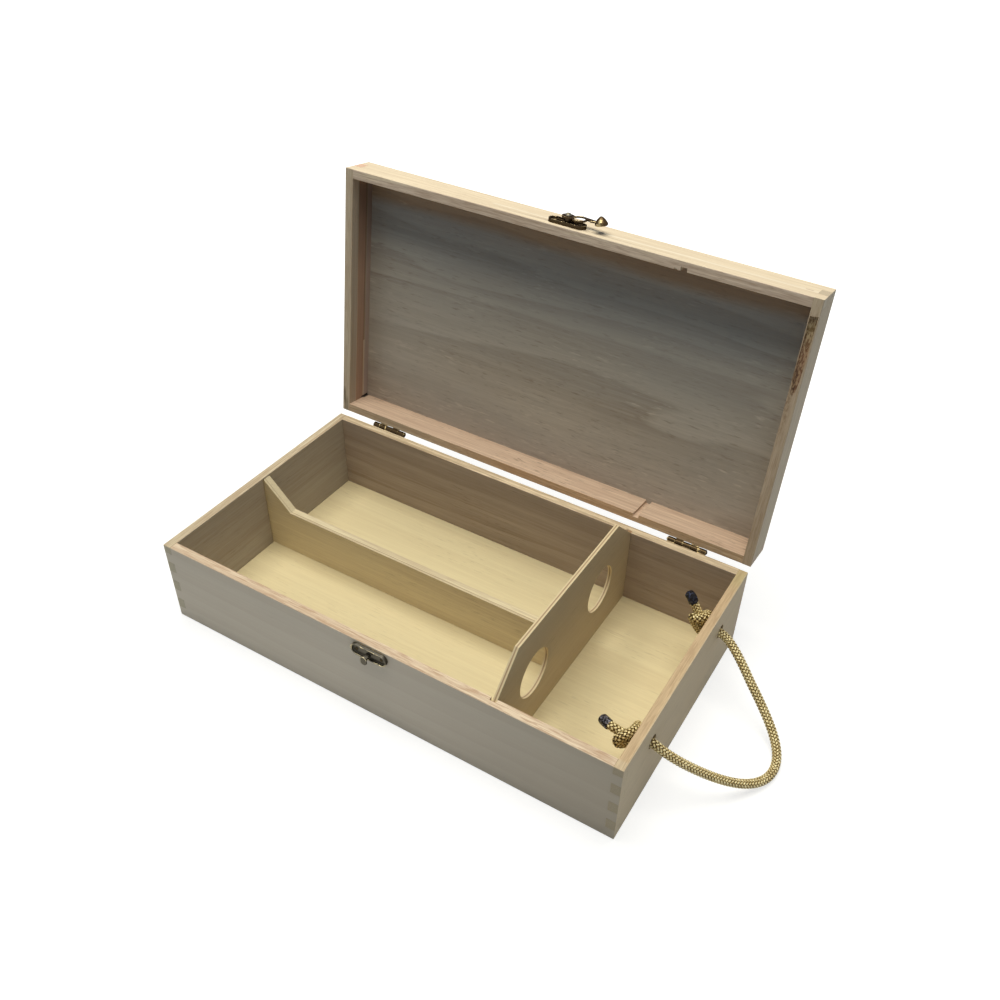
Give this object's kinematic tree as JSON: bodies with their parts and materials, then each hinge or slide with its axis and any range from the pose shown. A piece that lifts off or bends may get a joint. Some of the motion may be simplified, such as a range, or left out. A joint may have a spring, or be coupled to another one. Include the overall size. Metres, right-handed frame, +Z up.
{
  "type": "wooden wine box",
  "caption": "Finger-jointed wooden gift box for wine bottles, with a hinged lid standing open, a plate with neck holes, a swing latch and a rope handle.",
  "frame": {"origin": "middle of the underside, on the surface that the box stands on", "axes": "+Z up, +X towards the wall with the rope handle, -Y towards the latch at the front"},
  "size_m": [0.43, 0.2623, 0.2752],
  "materials": {
    "solid_wood": "sanded raw pale softwood with faint grain",
    "panel_ply": "raw plywood with a wavy face grain",
    "plate_ply": "raw three-ply plywood with layered edges",
    "antique_brass": "antiqued brass, dark in the hollows and worn bright on the edges",
    "bright_brass": "worn brass",
    "gold_rope": "braided gold cord with a satin sheen",
    "rope_tape": "dark wrapped tape"
  },
  "bodies": {
    "base": {"front_wall": "solid_wood", "back_wall": "solid_wood", "left_wall": "solid_wood", "right_wall": "solid_wood", "floor_panel": "panel_ply", "neck_plate": "plate_ply", "centre_divider": "solid_wood", "catch_plate": "antique_brass", "catch_nails": "bright_brass", "hinge_base_leaf_left": "antique_brass", "hinge_base_leaf_right": "antique_brass", "hinge_pin_left": "antique_brass", "hinge_pin_right": "antique_brass", "hinge_base_nails": "bright_brass", "rope_handle": "gold_rope", "rope_knot_back": "gold_rope", "rope_knot_front": "gold_rope", "rope_tip_back": "rope_tape", "rope_tip_front": "rope_tape"},
    "lid": {"lid_front_rail": "solid_wood", "lid_back_rail": "solid_wood", "lid_left_rail": "solid_wood", "lid_right_rail": "solid_wood", "lid_panel": "panel_ply", "hinge_lid_leaf_left": "antique_brass", "hinge_lid_leaf_right": "antique_brass", "hinge_lid_nails": "bright_brass", "latch_plate": "antique_brass", "latch_nails": "bright_brass", "latch_rivet": "bright_brass"},
    "lever": {"latch_lever": "antique_brass"}
  },
  "joints": [
    {"name": "lid_hinge", "type": "hinge", "parent": "base", "child": "lid", "pos_m": [0, 0.1006, 0.0688], "axis": [-1, 0, 0], "range_deg": [-98.5, 0]},
    {"name": "latch_pivot", "type": "hinge", "parent": "lid", "child": "lever", "pos_m": [0, 0.13898, 0.26741], "axis": [0, 0.1478, 0.989], "range_deg": [-90, 0]}
  ]
}
